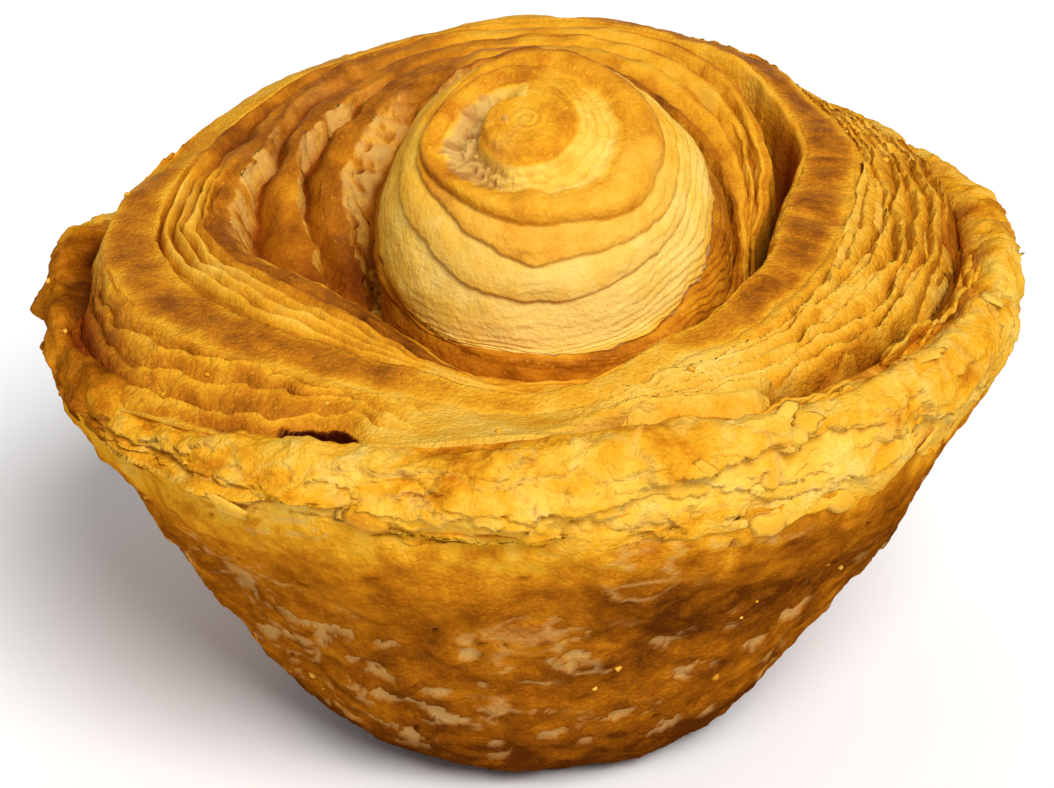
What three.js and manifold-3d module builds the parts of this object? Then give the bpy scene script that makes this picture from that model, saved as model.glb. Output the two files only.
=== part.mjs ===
// A small uncut meat pie: a deep flared pastry case with a thick pinched rim, closed by a lid that is one
// coiled strip of puff pastry. The middle of the coil has risen into a leaning rosette. Round it runs a
// groove, deep at the front and shallow at the back, then the outer turns, which climb to a crest and fall
// to the rim.
// Millimetres, +Z up. The origin is the middle of the flat base, and -Y is the front.
import * as THREE from "three";
import { mergeVertices } from "three/addons/utils/BufferGeometryUtils.js";
import Module from "manifold-3d";

// Pastry case
const BASE_RADIUS = 19.3; // flat face that the pie rests on
const FOOT_RADIUS = 32.3; // where the rounded foot meets the straight wall
const FOOT_HEIGHT = 12;
const FOOT_PULL = { radius: 25, height: 2.2 }; // control point of the rounded foot
const WALL_RADIUS = 52.6; // top of the straight wall
const WALL_HEIGHT = 43;
const RIM_RADIUS = 55.6; // widest point of the whole pie
const RIM_WIDEST_HEIGHT = 52;
const RIM_TOP_RADIUS = 51.6;
const RIM_TOP_HEIGHT = 57.6;
const SEAT_RADIUS = 48.6; // recess in the top of the case that holds the lid
const SEAT_LIP_HEIGHT = 55.4;
const SEAT_HEIGHT = 47;
const CASE_SIDES = 64;
const CASE_CURVE_STEPS = 5;
const RIM_UNEVENNESS = [
  { waves: 2, share: 0.006, turn: 0.0 },
  { waves: 6, share: 0.006, turn: 1.1 },
  { waves: 10, share: 0.005, turn: 2.3 },
];

// Outer turns of the lid
const LID_GAP = 0.3; // clearance between the lid and the case
const LID_RADIUS = SEAT_RADIUS - LID_GAP;
const LID_UNDERSIDE = SEAT_HEIGHT + LID_GAP;
const LID_EDGE_HEIGHT = 56.4;
const GROOVE_RADIUS = 23.5; // foot of the rosette, where the outer turns begin
const GROOVE_HEIGHTS = [52, 60, 63.5, 61.5, 54, 50, 49, 49.5]; // every 45 degrees from +X, towards +Y
const CREST_RADII = [35, 42, 45.5, 43, 37, 29.5, 38, 31.5];
const CREST_HEIGHTS = [62.5, 63, 64, 62, 58.5, 57.5, 55.5, 60];
const OUTER_TURNS = 6;
const OUTER_FOLD_DEPTH = 1.5;
const OUTER_SIDES = 80;
const OUTER_STEPS = 26;

// Rosette in the middle of the lid
const ROSETTE_CENTRE = new THREE.Vector3(3.5, -1, 50);
const ROSETTE_LEAN_FORWARD = THREE.MathUtils.degToRad(18);
const ROSETTE_LEAN_LEFT = THREE.MathUtils.degToRad(6);
const ROSETTE_LEAN_HEIGHT = 14; // it stands upright at its root and leans fully from here up
const ROSETTE_RADIUS = 22;
const ROSETTE_HEIGHT = 27.5;
const ROSETTE_FULLNESS = 2.6; // 2 is a half ellipse, more is squarer at the shoulder
const ROSETTE_TURNS = 3.5;
const ROSETTE_FOLD_DEPTH = 1.3;
const ROSETTE_ROOT_DEPTH = 2; // how far its root reaches below the groove
const ROSETTE_TIP_RADIUS = 0.2;
const ROSETTE_SIDES = 56;
const ROSETTE_STEPS = 20;

const wasm = await Module();
wasm.setup();

// Value at an angle of a closed smooth curve through values spaced evenly round a full turn.
function roundValue(values, angle) {
  const count = values.length;
  const place = THREE.MathUtils.euclideanModulo((angle / (2 * Math.PI)) * count, count);
  const index = Math.floor(place);
  const at = (step) => values[(index + step + count) % count];
  const t = place - index;
  const slopeIn = (at(1) - at(-1)) / 2;
  const slopeOut = (at(2) - at(0)) / 2;
  const rise = at(1) - at(0);
  return at(0) + t * (slopeIn + t * (3 * rise - 2 * slopeIn - slopeOut + t * (slopeIn + slopeOut - 2 * rise)));
}

// Height of a rounded fold, 0 in the crease and 1 on the fold, once for each whole number of turns.
function fold(turns) {
  return 0.5 - 0.5 * Math.cos(2 * Math.PI * turns);
}

function ringAngles(sides) {
  return Array.from({ length: sides }, (_, side) => (2 * Math.PI * side) / sides);
}

// Closed body made of rings of points stacked from the bottom up, with a fan over each end.
function stackedRings(rings) {
  const sides = rings[0].length;
  const points = rings.flat();
  const middle = (ring) =>
    ring.reduce((sum, point) => sum.add(point), new THREE.Vector3()).divideScalar(ring.length);
  const bottom = points.push(middle(rings[0])) - 1;
  const top = points.push(middle(rings.at(-1))) - 1;
  const index = [];
  for (let side = 0; side < sides; side += 1) {
    const next = (side + 1) % sides;
    for (let ring = 0; ring + 1 < rings.length; ring += 1) {
      const low = ring * sides;
      const high = low + sides;
      index.push(low + side, low + next, high + next, low + side, high + next, high + side);
    }
    const last = (rings.length - 1) * sides;
    index.push(bottom, next, side, top, last + side, last + next);
  }
  return new THREE.BufferGeometry().setFromPoints(points).setIndex(index);
}

function asSolid(geometry) {
  const merged = mergeVertices(geometry, 1e-4);
  const vertProperties = new Float32Array(merged.attributes.position.array);
  const triVerts = new Uint32Array(merged.index.array);
  return new wasm.Manifold(new wasm.Mesh({ numProp: 3, vertProperties, triVerts }));
}

function asGeometry(solid) {
  const mesh = solid.getMesh();
  return new THREE.BufferGeometry()
    .setAttribute("position", new THREE.BufferAttribute(mesh.vertProperties, 3))
    .setIndex(new THREE.BufferAttribute(mesh.triVerts, 1));
}

// Case: its outline turned round the axis. The rim is a little uneven, as hand-pinched pastry is, and the
// seat stays round, so that the lid clears it.
function caseOutline() {
  const outline = new THREE.Path();
  outline.moveTo(BASE_RADIUS, 0);
  outline.quadraticCurveTo(FOOT_PULL.radius, FOOT_PULL.height, FOOT_RADIUS, FOOT_HEIGHT);
  outline.lineTo(WALL_RADIUS, WALL_HEIGHT);
  outline.quadraticCurveTo(RIM_RADIUS, (WALL_HEIGHT + RIM_WIDEST_HEIGHT) / 2, RIM_RADIUS, RIM_WIDEST_HEIGHT);
  outline.quadraticCurveTo(RIM_RADIUS, RIM_TOP_HEIGHT, RIM_TOP_RADIUS, RIM_TOP_HEIGHT);
  outline.quadraticCurveTo(SEAT_RADIUS, RIM_TOP_HEIGHT, SEAT_RADIUS, SEAT_LIP_HEIGHT);
  outline.lineTo(SEAT_RADIUS, SEAT_HEIGHT);
  return outline.getPoints(CASE_CURVE_STEPS);
}

function rimUnevenness(angle) {
  return RIM_UNEVENNESS.reduce((sum, { waves, share, turn }) => sum + share * Math.cos(waves * angle + turn), 0);
}

function caseGeometry() {
  const rings = caseOutline().map(({ x: radius, y: height }) => {
    const uneven = THREE.MathUtils.smoothstep(radius, SEAT_RADIUS, RIM_TOP_RADIUS);
    return ringAngles(CASE_SIDES).map((angle) => {
      const reach = radius * (1 + uneven * rimUnevenness(angle));
      return new THREE.Vector3(reach * Math.cos(angle), reach * Math.sin(angle), height);
    });
  });
  return stackedRings(rings);
}

// Outer turns: a disc whose top rises from the groove to the crest and falls to the rim, with the folds of
// the coil running outwards anticlockwise.
function outerTurnsHeight(share, angle) {
  const crestShare = (roundValue(CREST_RADII, angle) - GROOVE_RADIUS) / (LID_RADIUS - GROOVE_RADIUS);
  const crestHeight = roundValue(CREST_HEIGHTS, angle);
  const inside = THREE.MathUtils.smoothstep(share, 0, crestShare);
  const outside = THREE.MathUtils.smoothstep(share, crestShare, 1);
  const grooveHeight = roundValue(GROOVE_HEIGHTS, angle);
  const mound = grooveHeight + (crestHeight - grooveHeight) * inside;
  const slope = (LID_EDGE_HEIGHT - crestHeight) * outside;
  const folds = OUTER_FOLD_DEPTH * fold(OUTER_TURNS * share - angle / (2 * Math.PI));
  const fade = THREE.MathUtils.smoothstep(share, 0, 0.15) * (1 - THREE.MathUtils.smoothstep(share, 0.85, 1));
  return mound + slope + folds * fade;
}

function outerTurnsGeometry() {
  const ring = (radius, height) =>
    ringAngles(OUTER_SIDES).map(
      (angle) => new THREE.Vector3(radius * Math.cos(angle), radius * Math.sin(angle), height(angle)),
    );
  const rings = [ring(LID_RADIUS, () => LID_UNDERSIDE)];
  for (let step = OUTER_STEPS; step >= 0; step -= 1) {
    const share = step / OUTER_STEPS;
    const radius = GROOVE_RADIUS + share * (LID_RADIUS - GROOVE_RADIUS);
    rings.push(ring(radius, (angle) => outerTurnsHeight(share, angle)));
  }
  return stackedRings(rings);
}

// Rosette: a domed snail of pastry, upright at its root and leaning forwards and to the left above it.
function rosetteRing(radius, height, outline) {
  const share = THREE.MathUtils.smoothstep(height, 0, ROSETTE_LEAN_HEIGHT);
  const lean = new THREE.Euler(share * ROSETTE_LEAN_FORWARD, -share * ROSETTE_LEAN_LEFT, 0);
  return ringAngles(ROSETTE_SIDES).map((angle) => {
    const { out, up } = outline(angle);
    const reach = Math.max(radius + out, ROSETTE_TIP_RADIUS);
    return new THREE.Vector3(reach * Math.cos(angle), reach * Math.sin(angle), height + up)
      .applyEuler(lean)
      .add(ROSETTE_CENTRE);
  });
}

function rosetteGeometry() {
  const foldAt = (climb, angle) =>
    ROSETTE_FOLD_DEPTH * (fold(ROSETTE_TURNS * climb + angle / (2 * Math.PI)) - 1);
  const rings = [rosetteRing(ROSETTE_RADIUS, -ROSETTE_ROOT_DEPTH, (angle) => ({ out: foldAt(0, angle), up: 0 }))];
  for (let step = 0; step < ROSETTE_STEPS; step += 1) {
    const climb = step / ROSETTE_STEPS;
    const bend = (climb * Math.PI) / 2;
    const radius = ROSETTE_RADIUS * Math.cos(bend) ** (2 / ROSETTE_FULLNESS);
    const height = ROSETTE_HEIGHT * Math.sin(bend) ** (2 / ROSETTE_FULLNESS);
    rings.push(
      rosetteRing(radius, height, (angle) => ({
        out: foldAt(climb, angle) * Math.cos(bend),
        up: foldAt(climb, angle) * Math.sin(bend),
      })),
    );
  }
  return stackedRings(rings);
}

function lidGeometry() {
  return asGeometry(asSolid(outerTurnsGeometry()).add(asSolid(rosetteGeometry())));
}

// Scene graph
function subPart(name, geometry, material) {
  const mesh = new THREE.Mesh(geometry, new THREE.MeshStandardMaterial({ metalness: 0, ...material }));
  mesh.name = name;
  return mesh;
}

const meatPie = new THREE.Group();
meatPie.add(
  subPart("pastry_case", caseGeometry(), { color: 0xc98a35, roughness: 0.6 }),
  subPart("spiral_lid", lidGeometry(), { color: 0xe0a848, roughness: 0.55 }),
);

export default meatPie;
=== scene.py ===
"""Looks of a small meat pie: a flared pastry case closed by a coiled puff pastry lid.

The file is laid out as an add-on and run as a script. Shapes are worked out in millimetres, in the frame of
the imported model: +Z up, -Y to the front. Directions round the pie are counted from +X towards +Y.
"""

import itertools
import math
from dataclasses import dataclass
from functools import partial
from types import SimpleNamespace

import bpy
import numpy as np
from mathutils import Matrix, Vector


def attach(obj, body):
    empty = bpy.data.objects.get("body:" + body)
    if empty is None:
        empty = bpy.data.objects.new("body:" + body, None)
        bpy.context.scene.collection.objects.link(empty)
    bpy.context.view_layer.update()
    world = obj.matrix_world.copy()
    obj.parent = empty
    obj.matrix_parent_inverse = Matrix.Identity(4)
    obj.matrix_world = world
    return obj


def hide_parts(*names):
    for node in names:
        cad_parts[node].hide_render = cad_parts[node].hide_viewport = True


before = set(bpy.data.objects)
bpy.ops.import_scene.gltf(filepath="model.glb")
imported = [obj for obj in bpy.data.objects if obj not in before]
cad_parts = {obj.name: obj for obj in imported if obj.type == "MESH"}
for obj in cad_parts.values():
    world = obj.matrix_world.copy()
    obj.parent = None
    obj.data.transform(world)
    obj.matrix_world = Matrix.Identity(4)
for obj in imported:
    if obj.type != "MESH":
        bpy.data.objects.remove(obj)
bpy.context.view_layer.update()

bl_info = {
    "name": "Coiled meat pie",
    "version": (1, 0, 0),
    "blender": (4, 5, 0),
    "location": "3D View > Sidebar > Meat pie",
    "description": "Builds the crust, the coiled lid, the flakes and the crumbs of a small meat pie",
    "category": "Add Mesh",
}

MM = 0.001
FULL_TURN = 2 * np.pi

# Guide curves of the rim and the lid, one value for every 30 degrees
RIM_LIFTS = (1.0, 0.4, 1.0, 0.5, -1.0, -6.4, -2.6, -4.8, -4.0, -0.6, 0.2, 0.6)
BAND_RADII = (32.6, 38.6, 43.0, 45.0, 46.0, 44.5, 44.6, 41.0, 36.8, 37.5, 33.0, 32.0)
BAND_HEIGHTS = (62.5, 64.6, 67.8, 67.8, 64.6, 60.8, 57.8, 57.5, 56.5, 55.2, 57.5, 61.0)
CREST_HALF_WIDTHS = (3.3, 2.4, 1.9, 1.8, 1.8, 2.0, 3.0, 3.3, 2.6, 1.5, 2.1, 2.6)
EDGE_HEIGHTS = (57.4, 58.2, 59.5, 59.5, 58.0, 55.0, 52.0, 50.8, 53.0, 56.4, 54.8, 54.6)
EDGE_RADII = (49.4, 49.4, 49.4, 49.4, 49.4, 49.4, 49.4, 54.0, 50.6, 49.4, 49.4, 49.4)
# Crests of the turns inside the band, from the rosette outwards, and the depth of the valley outside each
TURN_RADII = (
    (23.6, 23.2, 22.5, 22.0, 20.5, 19.0, 17.5, 18.5, 20.5, 22.0, 22.5, 24.0),
    (24.1, 26.8, 28.0, 28.0, 26.5, 25.0, 19.0, 20.0, 22.0, 23.5, 24.0, 25.6),
    (24.6, 29.0, 33.0, 33.5, 32.0, 30.0, 24.0, 22.0, 23.5, 25.0, 26.0, 27.0),
    (25.3, 31.0, 37.4, 39.0, 39.5, 36.0, 33.6, 26.0, 26.0, 34.0, 29.0, 28.0),
)
TURN_HEIGHTS = (
    (59.0, 64.5, 69.5, 71.5, 68.5, 58.0, 50.0, 49.4, 49.4, 49.6, 49.6, 52.5),
    (57.4, 63.6, 68.8, 70.0, 67.5, 61.5, 51.0, 49.6, 49.8, 50.0, 50.0, 52.5),
    (56.4, 63.2, 68.4, 69.0, 66.5, 62.5, 54.5, 50.5, 50.5, 50.5, 50.5, 53.0),
    (56.2, 63.0, 68.0, 68.2, 65.6, 61.5, 58.4, 57.3, 55.4, 53.6, 52.5, 53.0),
)
VALLEY_DEPTHS = (
    (1.0, 1.6, 1.8, 1.4, 1.6, 0.8, 0.3, 0.2, 0.2, 0.2, 0.2, 1.2),
    (1.0, 1.8, 1.8, 1.4, 1.8, 2.6, 2.0, 0.4, 0.3, 0.3, 0.3, 2.0),
    (1.0, 2.2, 2.0, 1.6, 2.0, 2.8, 2.6, 0.8, 0.5, 0.4, 0.4, 2.0),
    (8.0, 7.5, 3.4, 1.8, 2.0, 1.6, 0.6, 0.4, 0.3, 0.2, 0.8, 6.0),
)

# Places round the pie, in degrees: the middle, the reach to both sides and the fade beyond it
CASE_PLACES = {"drawn_in": (0, 34, 22), "darker": (318, 24, 22)}
RIM_PLACES = {
    "left": (190, 16, 16),
    "gap_right": (-35, 26, 12),
    "gap_left": (188, 14, 8),
    "runs_in": (0, 42, 18),
    "browned": (342, 26, 14),
    "paler": (322, 26, 20),
}
ROSETTE_PLACES = {"front_lines": (285, 50, 30), "paler": (280, 60, 30)}
BAND_PLACES = {
    "fan": (-22, 52, 16),
    "loose": (220, 26, 12),
    "back": (100, 56, 20),
    "left": (205, 36, 24),
    "front": (280, 18, 22),
    "right": (8, 54, 28),
    "torn_gap": (-30, 26, 14),
    "slot": (243.4, 2.0, 5.6),
    "paler": (294, 14, 14),
    "shaded": (190, 16, 10),
}
TURN_PLACES = {
    "left_back": (150, 34, 20),
    "left": (176, 44, 16),
    "lobe": (214, 48, 12),
    "right": (30, 62, 30),
    "shaded": (6, 20, 16),
}
# Softer places: the middle and the reach
RIM_DRAPED = (222, 17)
RIM_RIGHT = (15, 34)
ROSETTE_FRONT_LEFT = (240, 80)
ROSETTE_RIGHT = (355, 50)
ROSETTE_BACK = (90, 55)


# Numbers

CELL_FACTORS = (374761393, 668265263, 1274126177)
SEED_FACTOR = 974634617
SCRAMBLE_FACTOR = 1103515245


def smooth(low, high, value):
    """0 below low, 1 above high, and an even S between them."""
    share = np.clip((value - low) / (high - low), 0, 1)
    return share * share * (3 - 2 * share)


def fade(low, high, value):
    """1 below low, 0 above high, and an even S between them."""
    return 1 - smooth(low, high, value)


def between(rise_start, rise_end, fall_start, fall_end, value):
    """1 inside a range and 0 outside it, with an even S at both ends."""
    return smooth(rise_start, rise_end, value) * fade(fall_start, fall_end, value)


def mix(first, second, share):
    return first + (second - first) * share


def near(value, middle, reach):
    """A soft bump, 1 at the middle."""
    return np.exp(-(((value - middle) / reach) ** 2))


def apart(angle, degrees):
    """Angle in degrees from a direction, from -180 to 180."""
    return np.mod(np.degrees(angle) - degrees + 180, 360) - 180


def around(angle, middle, reach):
    """A soft bump round a direction in degrees."""
    return near(apart(angle, middle), 0, reach)


def sector(angle, middle, half, beyond):
    """1 within some degrees of a direction, and 0 beyond a fade."""
    return fade(half, half + beyond, np.abs(apart(angle, middle)))


def places(angle, named):
    """How far each direction belongs to each of the named places, from 0 to 1."""
    return SimpleNamespace(**{name: sector(angle, *span) for name, span in named.items()})


def curve_value(values, place, closed=False):
    """Value at a place on a smooth curve through values at places 0, 1, 2 and so on."""
    values = np.asarray(values, float)
    count = len(values)
    index = np.floor(place).astype(int)
    share = place - index
    steps = [index + step for step in (-1, 0, 1, 2)]
    indices = [np.mod(step, count) if closed else np.clip(step, 0, count - 1) for step in steps]
    before, here, ahead, beyond = (values[index] for index in indices)
    slope_in, slope_out, rise = (ahead - before) / 2, (beyond - here) / 2, ahead - here
    bend = 3 * rise - 2 * slope_in - slope_out + share * (slope_in + slope_out - 2 * rise)
    return here + share * (slope_in + share * bend)


def round_value(values, angle):
    """Value at an angle of a closed smooth curve through values spaced evenly round a full turn."""
    return curve_value(values, angle / FULL_TURN * len(values), closed=True)


def read_off(pairs, value):
    """Value read off a line through pairs of a place and its value."""
    return np.interp(value, *zip(*pairs))


def lattice_value(cell, seed):
    """A fixed value from -1 to 1 for each whole-number cell, scrambled by large odd numbers."""
    mixed = sum(cell[..., axis] * factor for axis, factor in enumerate(CELL_FACTORS)) + seed * SEED_FACTOR
    mixed = (mixed ^ (mixed >> 13)) * SCRAMBLE_FACTOR
    mixed = mixed ^ (mixed >> 16)
    return (mixed & 0xFFFF) / 32767.5 - 1.0


def noise(points, size, seed):
    """Smooth noise from -1 to 1, with lumps of the given size."""
    place = points / np.asarray(size, float)
    cell = np.floor(place).astype(np.int64)
    share = place - cell
    share = share * share * (3 - 2 * share)
    total = np.zeros(points.shape[:-1])
    for corner in itertools.product((0, 1), repeat=3):
        weight = np.prod(np.where(np.array(corner), share, 1 - share), axis=-1)
        total += weight * lattice_value(cell + np.array(corner), seed)
    return total


def cloud(points, size, seed, octaves=3):
    """Noise with finer and weaker noise on top, each octave half the size of the one before."""
    size = np.asarray(size, float)
    return sum(noise(points, size / 2**step, seed + step) / 2**step for step in range(octaves))


def line_noise(values, size, seed, octaves):
    points = np.stack([values, np.full_like(values, 0.37), np.full_like(values, 0.71)], -1)
    return cloud(points, (size, 1.0, 1.0), seed, octaves)


def chips(points, size, seed):
    """Ragged chips that fill space: a fixed value for each, the height in it and the way to its edge."""
    place = points / np.asarray(size, float)
    cell = np.floor(place).astype(np.int64)
    nearest = np.full(points.shape[:-1], np.inf)
    second = nearest.copy()
    value, level = np.zeros_like(nearest), np.zeros_like(nearest)
    for corner in itertools.product((-1, 0, 1), repeat=3):
        home = cell + np.array(corner)
        middle = home + 0.5 + 0.42 * np.stack([lattice_value(home, seed + axis) for axis in range(3)], -1)
        distance = np.linalg.norm(place - middle, axis=-1)
        closer = distance < nearest
        second = np.where(closer, nearest, np.minimum(second, distance))
        value = np.where(closer, lattice_value(home, seed + 3), value)
        level = np.where(closer, place[..., 2] - middle[..., 2], level)
        nearest = np.where(closer, distance, nearest)
    return value, level, second - nearest


# Meshes


def millimetres(settings):
    """The lengths among some settings, in millimetres, by name."""
    entries = settings.bl_rna.properties
    lengths = [entry.identifier for entry in entries if getattr(entry, "unit", "") == "LENGTH"]
    return SimpleNamespace(**{name: getattr(settings, name) / MM for name in lengths})


def directions(sides):
    return np.arange(sides)[None, :] / sides * FULL_TURN


def ring(angle, radius, height):
    return np.stack(np.broadcast_arrays(radius * np.cos(angle), radius * np.sin(angle), height), -1)


def curve(start, pull, end, steps):
    share = np.arange(steps)[:, None] / steps
    start, pull, end = (np.array(point, float) for point in (start, pull, end))
    return (1 - share) ** 2 * start + 2 * share * (1 - share) * pull + share**2 * end


def line(start, end, steps):
    return curve(start, (np.array(start) + np.array(end)) / 2, end, steps)


def face_out(radius, height):
    """How far outwards and upwards the surface faces, for rows of radius and height."""
    along = np.gradient(radius, axis=0)
    rise = np.gradient(height, axis=0)
    length = np.maximum(np.hypot(along, rise), 1e-6)
    return rise / length, -along / length


def stacked(*rows):
    """Rows of values for the stretches of a surface, stacked into one grid."""
    columns = max(row.shape[1] for row in rows)
    return np.concatenate([np.broadcast_to(row, (len(row), columns)) for row in rows])


def strip_run(grid):
    """Length along each column of points, for the fine lines of the pastry."""
    return np.cumsum(np.linalg.norm(np.diff(grid, axis=0, prepend=grid[:1]), axis=-1), axis=0)


def tube(grid):
    """Points and faces of a closed body: rows of points, each closed on itself, with a fan over each end."""
    rows, columns = grid.shape[:2]
    count = rows * columns
    points = np.concatenate([grid.reshape(-1, 3), [grid[0].mean(0), grid[-1].mean(0)]])
    index = np.arange(count).reshape(rows, columns)
    after = np.roll(index, -1, axis=1)
    quads = np.stack([index[:-1], after[:-1], after[1:], index[1:]], -1).reshape(-1, 4)
    first = np.stack([np.full(columns, count), after[0], index[0]], -1)
    last = np.stack([np.full(columns, count + 1), index[-1], after[-1]], -1)
    fans = np.concatenate([first, last])
    corners = points[quads]
    face = np.cross(corners[:, 2] - corners[:, 0], corners[:, 3] - corners[:, 1])
    if np.sum(face * (corners.mean(1) - points.mean(0))) < 0:
        quads, fans = quads[:, ::-1], fans[:, ::-1]
    return points, [quads, fans]


def tube_values(values):
    """One value for each point of a tube, its two fan points included."""
    return np.concatenate([values.reshape(-1), [values[0].mean(), values[-1].mean()]])


def with_end_rows(values, shape, beyond_last=False):
    """Named values of a body with a row added below its first row, and if asked one beyond its last."""
    full = {}
    for key, value in values.items():
        rows = np.broadcast_to(value, shape)
        full[key] = np.concatenate([rows[:1], rows, rows[-1:] if beyond_last else rows[:0]])
    return full


def add_object(name, data):
    item = bpy.data.objects.new(name, data)
    bpy.context.scene.collection.objects.link(item)
    return item


def add_piece(name, bodies, material, node=None):
    """Joins closed bodies, each a grid of points and its named values, into one piece of the pie."""
    points, faces, values = [], [], {}
    start = 0
    for grid, body_values in bodies:
        body_points, body_faces = tube(grid)
        points.append(body_points)
        faces += [polygon.tolist() for kind in body_faces for polygon in (kind + start)]
        start += len(body_points)
        for key, value in body_values.items():
            values.setdefault(key, []).append(tube_values(np.broadcast_to(value, grid.shape[:2])))
    mesh = bpy.data.meshes.new(name)
    mesh.from_pydata((np.concatenate(points) * MM).tolist(), [], faces)
    mesh.polygons.foreach_set("use_smooth", np.ones(len(mesh.polygons), bool))
    for key, parts in values.items():
        attribute = mesh.attributes.new(key, "FLOAT", "POINT")
        attribute.data.foreach_set("value", np.concatenate(parts).astype(np.float32))
    mesh.materials.append(material)
    piece = add_object(name, mesh)
    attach(piece, "root")
    if node:
        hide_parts(node)


# Pastry case

WALL_SIDES = 600
BASE_STEPS = 4
FOOT_STEPS = 26
WALL_STEPS = 70
TOP_STEPS = 8
BASE_HUB = 2.0  # innermost ring of points of the flat base
FOOT_PULL = (25.0, 2.2)  # control point of the rounded foot
TOP_OUT = 1.8  # how much wider and higher the wall ends, behind the rim
TOP_UP = 5.0
CORE_RADIUS = 46.0  # hidden inner end of the wall and the rim
DRAWN_IN = 1.3  # below the rim on the right
# Waves round the rim, and the share of the radius and the turn of each
RIM_UNEVENNESS = ((2, 0.006, 0.0), (6, 0.006, 1.1), (10, 0.005, 2.3))
# Direction, height, reach and depth of each dent
CASE_DENTS = ((222, 29, 4.5, 1.5), (318, 29, 4.5, 1.3), (95, 24, 6.0, 1.2), (30, 31, 5.0, 1.0))
# Height and browning; the darker tone towards the foot is partly real browning and partly painted shade
WALL_BAKE = (
    *((0, 1.08), (4, 1.04), (12, 0.88), (24, 0.80), (34, 0.77)),
    *((38, 0.69), (42, 0.58), (46, 0.44), (50, 0.40)),
)


def rim_unevenness(angle):
    return sum(share * np.cos(waves * angle + turn) for waves, share, turn in RIM_UNEVENNESS)


def drawn_in(angle, height):
    """How far the case is drawn in below the rim on the right."""
    place = places(angle, CASE_PLACES).drawn_in
    return DRAWN_IN * place * between(30, 42, 48, 56, height)


def wall_outline(size):
    """Radius and height along the foot and the wall, up to a little above the lower edge of the rim."""
    base, foot = (size.base_radius, 0), (size.foot_radius, size.foot_height)
    wall = (size.wall_radius, size.wall_height)
    top = (size.wall_radius + TOP_OUT, size.wall_height + TOP_UP)
    return np.concatenate(
        [
            line((BASE_HUB, 0), base, BASE_STEPS),
            curve(base, FOOT_PULL, foot, FOOT_STEPS),
            line(foot, wall, WALL_STEPS),
            line(wall, top, TOP_STEPS),
            [(CORE_RADIUS, top[1])],
        ]
    )


def wall_body(settings):
    """The foot and the wall, dented and blistered, with torn floury places low down."""
    size = millimetres(settings)
    angle = directions(WALL_SIDES)
    outline = wall_outline(size)
    radius, height = outline[:, :1] + 0 * angle, outline[:, 1:] + 0 * angle
    radius -= drawn_in(angle, height)
    out, up = face_out(radius, height)
    start = ring(angle, radius, height)
    cloudy = partial(cloud, start)
    free = smooth(0, 3, height)

    push = radius * rim_unevenness(angle) * smooth(size.seat_radius, size.rim_top_radius, radius)
    push += settings.lumpiness * 0.75 * cloudy(13, 11, 2)
    for degrees, dent_height, reach, depth in CASE_DENTS:
        across = np.radians(apart(angle, degrees)) * radius
        push -= depth * near(np.hypot(across, height - dent_height), 0, reach)
    torn = smooth(0.40, 0.56, cloudy((3.2, 3.2, 2.4), 61, 4)) * between(5, 9, 26, 33, height)
    pits = smooth(0.95, 1.05, cloudy(2.4, 66, 2)) * (1 - torn)
    relief = 1.1 * cloudy(4.2, 71) + 0.6 * cloudy(1.4, 75, 2) - 1.3 * torn - 1.6 * pits
    push += size.blister_depth * relief
    moved = ring(angle, radius + free * push * out, height + free * push * up)
    moved[:BASE_STEPS, :, 2] = 0

    drag = cloudy((1.6, 1.6, 14), 95, 2) * smooth(34, 40, height)
    vein = fade(0.02, 0.10, np.abs(cloudy((12, 12, 5), 301, 4)))
    vein *= smooth(0.0, 0.5, cloudy(11, 311, 2)) * smooth(8, 14, height)
    bake = read_off(WALL_BAKE, height + 3 * drag)
    bake += 0.07 * cloudy((10, 10, 4), 81) + 0.06 * cloudy(2.6, 85) - 0.20 * torn - 0.08 * vein
    # Painted shade on the wall's front right, darkening the side that the key light brightens most
    bake += 0.16 * places(angle, CASE_PLACES).darker * smooth(18, 30, height)
    flour = np.maximum(0.75 * torn, 0.5 * vein)
    # Painted shade in the pits
    return moved, {"bake": bake, "crease_shade": 0.7 * pits * free, "across": height, "flour": flour}


# Rim of the case

RIM_SIDES = 840
LIP_STEPS = 26
RIM_STEPS = 26
SEAT_STEPS = 14
CROWN_ROW = LIP_STEPS + RIM_STEPS + 2  # top of the rim, counted with the two hidden rows at its lower edge
SEAT_ROW = CROWN_ROW + SEAT_STEPS
RIM_EDGE_HEIGHT = 45.6
RIM_GUIDE_RADIUS = 54.0
EDGE_THICKNESS = 1.4
CHIP_SIZE = (12.0, 12.0, 4.4)
SMALL_CHIP_SIZE = (4.6, 4.6, 2.2)


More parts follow.
